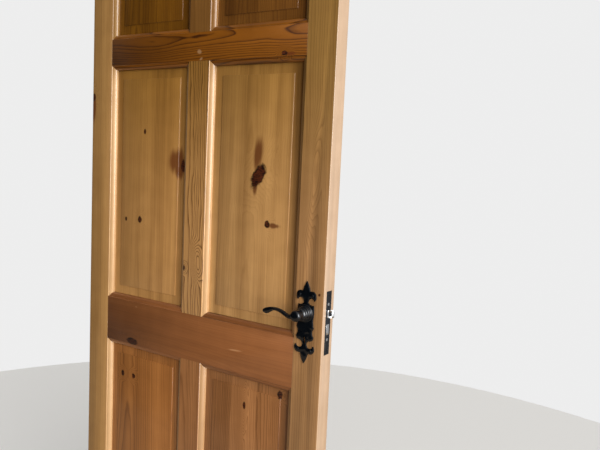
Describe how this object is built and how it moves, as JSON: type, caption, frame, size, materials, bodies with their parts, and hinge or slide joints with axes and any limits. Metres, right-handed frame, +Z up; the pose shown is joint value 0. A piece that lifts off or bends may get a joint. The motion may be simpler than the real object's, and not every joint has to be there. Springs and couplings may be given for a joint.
{
  "type": "six-panel wooden door",
  "caption": "Panelled pine door leaf with butt hinges, black lever handles on shaped backplates, and a mortise lock with a sprung latch and a dead bolt.",
  "frame": {"origin": "under the middle of the whole part, at the foot of the leaf", "axes": "+X from the hinge edge to the lock edge, +Y from the front face to the back face, +Z up"},
  "size_m": [0.781, 0.143, 1.981],
  "materials": {
    "wood": "waxed",
    "panel_wood": "waxed",
    "hinge_steel": "satin black",
    "screw_steel": "bright",
    "black_steel": "satin black",
    "lock_steel": "plain",
    "bolt_steel": "polished",
    "black_iron": "satin black"
  },
  "bodies": {
    "jamb_leaves": {"bottom_hinge_jamb_leaf": "hinge_steel", "middle_hinge_jamb_leaf": "hinge_steel", "top_hinge_jamb_leaf": "hinge_steel"},
    "door_leaf": {"hinge_stile": "wood", "lock_stile": "wood", "top_rail": "wood", "frieze_rail": "wood", "lock_rail": "wood", "bottom_rail": "wood", "top_mullion": "wood", "middle_mullion": "wood", "bottom_mullion": "wood", "top_left_panel": "panel_wood", "top_right_panel": "panel_wood", "middle_left_panel": "panel_wood", "middle_right_panel": "panel_wood", "bottom_left_panel": "panel_wood", "bottom_right_panel": "panel_wood", "bottom_hinge_door_leaf": "hinge_steel", "middle_hinge_door_leaf": "hinge_steel", "top_hinge_door_leaf": "hinge_steel", "hinge_screws": "screw_steel", "lock_case": "lock_steel", "lock_cap": "lock_steel", "lock_faceplate": "black_steel", "faceplate_case_screws": "screw_steel", "faceplate_wood_screws": "black_steel", "latch_spring": "lock_steel", "front_backplate": "black_iron", "rear_backplate": "black_iron"},
    "handle": {"front_lever": "black_iron", "rear_lever": "black_iron", "front_lever_ring": "lock_steel", "rear_lever_ring": "lock_steel", "spindle": "lock_steel", "follower": "lock_steel"},
    "latch": {"latch_bolt": "bolt_steel"},
    "dead_bolt": {"dead_bolt": "bolt_steel"}
  },
  "joints": [
    {"name": "door_swing", "type": "hinge", "parent": "jamb_leaves", "child": "door_leaf", "pos_m": [-0.385, 0.028, 1], "axis": [0, 0, 1], "range_deg": [0, 180]},
    {"name": "handle_turn", "type": "hinge", "parent": "door_leaf", "child": "handle", "pos_m": [0.3345, 0, 1], "axis": [0, -1, 0], "range_deg": [0, 38], "stiffness_Nm_per_rad": 1.5, "springref_deg": -22.92},
    {"name": "latch_slide", "type": "slide", "parent": "door_leaf", "child": "latch", "axis": [-1, 0, 0], "range_m": [0, 0.011], "deforming": ["latch_spring"]},
    {"name": "dead_bolt_slide", "type": "slide", "parent": "door_leaf", "child": "dead_bolt", "axis": [1, 0, 0], "range_m": [0, 0.014]}
  ],
  "couplings": [
    {"joint": "latch_slide", "follows": "handle_turn", "m_per_rad": 0.0165}
  ]
}
